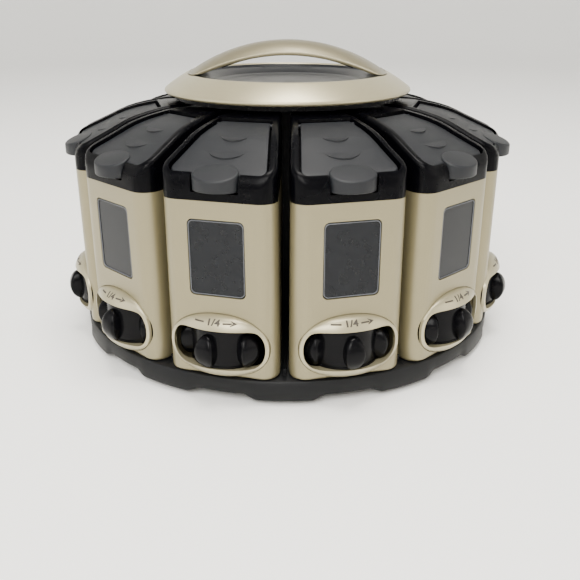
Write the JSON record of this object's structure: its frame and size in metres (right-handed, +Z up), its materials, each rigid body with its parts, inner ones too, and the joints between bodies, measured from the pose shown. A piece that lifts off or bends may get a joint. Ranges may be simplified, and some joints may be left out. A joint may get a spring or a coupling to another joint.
{
  "type": "spice carousel",
  "caption": "Round countertop spice rack: wedge canisters with flip-flap caps and measuring dials, on a turntable with a carry handle.",
  "frame": {"origin": "on the table under the turning axis, at the centre of the non-slip pad's underside", "axes": "+Z up along the turning axis; X runs along the carry handle; canister 1 stands 15 degrees from -Y towards +X and the numbers go counter-clockwise seen from above"},
  "size_m": [0.229, 0.2294, 0.146],
  "materials": {
    "body_champagne": "satin metallic lacquer",
    "ring_champagne": "smooth metallic lacquer",
    "cap_black": "semi-gloss moulded",
    "flap_grey_black": "fine spark texture",
    "dial_black": "semi-gloss moulded",
    "dish_black": "semi-gloss moulded",
    "base_black": "satin moulded",
    "foot_rubber": "matt",
    "bright_steel": "polished",
    "window_clear": "clear moulded",
    "marking_ink": "pad printed"
  },
  "bodies": {
    "foot": {"foot_pad": "foot_rubber", "foot_base": "base_black", "bearing_balls": "bright_steel", "pivot_cap": "base_black"},
    "turntable": {"turntable_tray": "base_black", "column_screws": "bright_steel", "centre_column": "base_black", "column_crown": "base_black", "top_ring": "ring_champagne", "dish_insert": "dish_black", "carry_handle": "ring_champagne", "handle_liner": "base_black"},
    "canister_01": {"canister_01_body": "body_champagne", "canister_01_cap": "cap_black"},
    "flap_01": {"canister_01_flap": "flap_grey_black"},
    "dial_01": {"canister_01_dial": "dial_black"},
    "canister_02": {"canister_02_body": "body_champagne", "canister_02_cap": "cap_black"},
    "flap_02": {"canister_02_flap": "flap_grey_black"},
    "dial_02": {"canister_02_dial": "dial_black"},
    "canister_03": {"canister_03_body": "body_champagne", "canister_03_cap": "cap_black"},
    "flap_03": {"canister_03_flap": "flap_grey_black"},
    "dial_03": {"canister_03_dial": "dial_black"},
    "canister_04": {"canister_04_body": "body_champagne", "canister_04_cap": "cap_black"},
    "flap_04": {"canister_04_flap": "flap_grey_black"},
    "dial_04": {"canister_04_dial": "dial_black"},
    "canister_05": {"canister_05_body": "body_champagne", "canister_05_cap": "cap_black"},
    "flap_05": {"canister_05_flap": "flap_grey_black"},
    "dial_05": {"canister_05_dial": "dial_black"},
    "canister_06": {"canister_06_body": "body_champagne", "canister_06_cap": "cap_black"},
    "flap_06": {"canister_06_flap": "flap_grey_black"},
    "dial_06": {"canister_06_dial": "dial_black"},
    "canister_07": {"canister_07_body": "body_champagne", "canister_07_cap": "cap_black"},
    "flap_07": {"canister_07_flap": "flap_grey_black"},
    "dial_07": {"canister_07_dial": "dial_black"},
    "canister_08": {"canister_08_body": "body_champagne", "canister_08_cap": "cap_black"},
    "flap_08": {"canister_08_flap": "flap_grey_black"},
    "dial_08": {"canister_08_dial": "dial_black"},
    "canister_09": {"canister_09_body": "body_champagne", "canister_09_cap": "cap_black"},
    "flap_09": {"canister_09_flap": "flap_grey_black"},
    "dial_09": {"canister_09_dial": "dial_black"},
    "canister_10": {"canister_10_body": "body_champagne", "canister_10_cap": "cap_black"},
    "flap_10": {"canister_10_flap": "flap_grey_black"},
    "dial_10": {"canister_10_dial": "dial_black"},
    "canister_11": {"canister_11_body": "body_champagne", "canister_11_cap": "cap_black"},
    "flap_11": {"canister_11_flap": "flap_grey_black"},
    "dial_11": {"canister_11_dial": "dial_black"},
    "canister_12": {"canister_12_body": "body_champagne", "canister_12_cap": "cap_black"},
    "flap_12": {"canister_12_flap": "flap_grey_black"},
    "dial_12": {"canister_12_dial": "dial_black"}
  },
  "joints": [
    {"name": "turntable_spin", "type": "hinge", "parent": "foot", "child": "turntable", "pos_m": [0, 0, 0.0087], "axis": [0, 0, 1], "continuous": true},
    {"name": "canister_01_slide", "type": "slide", "parent": "turntable", "child": "canister_01", "axis": [0.2588, -0.9659, 0], "range_m": [0, 0.075]},
    {"name": "flap_01_hinge", "type": "hinge", "parent": "canister_01", "child": "flap_01", "pos_m": [0.0176, -0.06568, 0.1142], "axis": [-0.9659, -0.2588, 0], "range_deg": [0, 75]},
    {"name": "dial_01_spin", "type": "hinge", "parent": "canister_01", "child": "dial_01", "pos_m": [0.02498, -0.09321, 0.026], "axis": [0, 0, 1], "continuous": true},
    {"name": "canister_02_slide", "type": "slide", "parent": "turntable", "child": "canister_02", "axis": [0.7071, -0.7071, 0], "range_m": [0, 0.075]},
    {"name": "flap_02_hinge", "type": "hinge", "parent": "canister_02", "child": "flap_02", "pos_m": [0.04808, -0.04808, 0.1142], "axis": [-0.7071, -0.7071, 0], "range_deg": [0, 75]},
    {"name": "dial_02_spin", "type": "hinge", "parent": "canister_02", "child": "dial_02", "pos_m": [0.06824, -0.06824, 0.026], "axis": [0, 0, 1], "continuous": true},
    {"name": "canister_03_slide", "type": "slide", "parent": "turntable", "child": "canister_03", "axis": [0.9659, -0.2588, 0], "range_m": [0, 0.075]},
    {"name": "flap_03_hinge", "type": "hinge", "parent": "canister_03", "child": "flap_03", "pos_m": [0.06568, -0.0176, 0.1142], "axis": [-0.2588, -0.9659, 0], "range_deg": [0, 75]},
    {"name": "dial_03_spin", "type": "hinge", "parent": "canister_03", "child": "dial_03", "pos_m": [0.09321, -0.02498, 0.026], "axis": [0, 0, 1], "continuous": true},
    {"name": "canister_04_slide", "type": "slide", "parent": "turntable", "child": "canister_04", "axis": [0.9659, 0.2588, 0], "range_m": [0, 0.075]},
    {"name": "flap_04_hinge", "type": "hinge", "parent": "canister_04", "child": "flap_04", "pos_m": [0.06568, 0.0176, 0.1142], "axis": [0.2588, -0.9659, 0], "range_deg": [0, 75]},
    {"name": "dial_04_spin", "type": "hinge", "parent": "canister_04", "child": "dial_04", "pos_m": [0.09321, 0.02498, 0.026], "axis": [0, 0, 1], "continuous": true},
    {"name": "canister_05_slide", "type": "slide", "parent": "turntable", "child": "canister_05", "axis": [0.7071, 0.7071, 0], "range_m": [0, 0.075]},
    {"name": "flap_05_hinge", "type": "hinge", "parent": "canister_05", "child": "flap_05", "pos_m": [0.04808, 0.04808, 0.1142], "axis": [0.7071, -0.7071, 0], "range_deg": [0, 75]},
    {"name": "dial_05_spin", "type": "hinge", "parent": "canister_05", "child": "dial_05", "pos_m": [0.06824, 0.06824, 0.026], "axis": [0, 0, 1], "continuous": true},
    {"name": "canister_06_slide", "type": "slide", "parent": "turntable", "child": "canister_06", "axis": [0.2588, 0.9659, 0], "range_m": [0, 0.075]},
    {"name": "flap_06_hinge", "type": "hinge", "parent": "canister_06", "child": "flap_06", "pos_m": [0.0176, 0.06568, 0.1142], "axis": [0.9659, -0.2588, 0], "range_deg": [0, 75]},
    {"name": "dial_06_spin", "type": "hinge", "parent": "canister_06", "child": "dial_06", "pos_m": [0.02498, 0.09321, 0.026], "axis": [0, 0, 1], "continuous": true},
    {"name": "canister_07_slide", "type": "slide", "parent": "turntable", "child": "canister_07", "axis": [-0.2588, 0.9659, 0], "range_m": [0, 0.075]},
    {"name": "flap_07_hinge", "type": "hinge", "parent": "canister_07", "child": "flap_07", "pos_m": [-0.0176, 0.06568, 0.1142], "axis": [0.9659, 0.2588, 0], "range_deg": [0, 75]},
    {"name": "dial_07_spin", "type": "hinge", "parent": "canister_07", "child": "dial_07", "pos_m": [-0.02498, 0.09321, 0.026], "axis": [0, 0, 1], "continuous": true},
    {"name": "canister_08_slide", "type": "slide", "parent": "turntable", "child": "canister_08", "axis": [-0.7071, 0.7071, 0], "range_m": [0, 0.075]},
    {"name": "flap_08_hinge", "type": "hinge", "parent": "canister_08", "child": "flap_08", "pos_m": [-0.04808, 0.04808, 0.1142], "axis": [0.7071, 0.7071, 0], "range_deg": [0, 75]},
    {"name": "dial_08_spin", "type": "hinge", "parent": "canister_08", "child": "dial_08", "pos_m": [-0.06824, 0.06824, 0.026], "axis": [0, 0, 1], "continuous": true},
    {"name": "canister_09_slide", "type": "slide", "parent": "turntable", "child": "canister_09", "axis": [-0.9659, 0.2588, 0], "range_m": [0, 0.075]},
    {"name": "flap_09_hinge", "type": "hinge", "parent": "canister_09", "child": "flap_09", "pos_m": [-0.06568, 0.0176, 0.1142], "axis": [0.2588, 0.9659, 0], "range_deg": [0, 75]},
    {"name": "dial_09_spin", "type": "hinge", "parent": "canister_09", "child": "dial_09", "pos_m": [-0.09321, 0.02498, 0.026], "axis": [0, 0, 1], "continuous": true},
    {"name": "canister_10_slide", "type": "slide", "parent": "turntable", "child": "canister_10", "axis": [-0.9659, -0.2588, 0], "range_m": [0, 0.075]},
    {"name": "flap_10_hinge", "type": "hinge", "parent": "canister_10", "child": "flap_10", "pos_m": [-0.06568, -0.0176, 0.1142], "axis": [-0.2588, 0.9659, 0], "range_deg": [0, 75]},
    {"name": "dial_10_spin", "type": "hinge", "parent": "canister_10", "child": "dial_10", "pos_m": [-0.09321, -0.02498, 0.026], "axis": [0, 0, 1], "continuous": true},
    {"name": "canister_11_slide", "type": "slide", "parent": "turntable", "child": "canister_11", "axis": [-0.7071, -0.7071, 0], "range_m": [0, 0.075]},
    {"name": "flap_11_hinge", "type": "hinge", "parent": "canister_11", "child": "flap_11", "pos_m": [-0.04808, -0.04808, 0.1142], "axis": [-0.7071, 0.7071, 0], "range_deg": [0, 75]},
    {"name": "dial_11_spin", "type": "hinge", "parent": "canister_11", "child": "dial_11", "pos_m": [-0.06824, -0.06824, 0.026], "axis": [0, 0, 1], "continuous": true},
    {"name": "canister_12_slide", "type": "slide", "parent": "turntable", "child": "canister_12", "axis": [-0.2588, -0.9659, 0], "range_m": [0, 0.075]},
    {"name": "flap_12_hinge", "type": "hinge", "parent": "canister_12", "child": "flap_12", "pos_m": [-0.0176, -0.06568, 0.1142], "axis": [-0.9659, 0.2588, 0], "range_deg": [0, 75]},
    {"name": "dial_12_spin", "type": "hinge", "parent": "canister_12", "child": "dial_12", "pos_m": [-0.02498, -0.09321, 0.026], "axis": [0, 0, 1], "continuous": true}
  ]
}
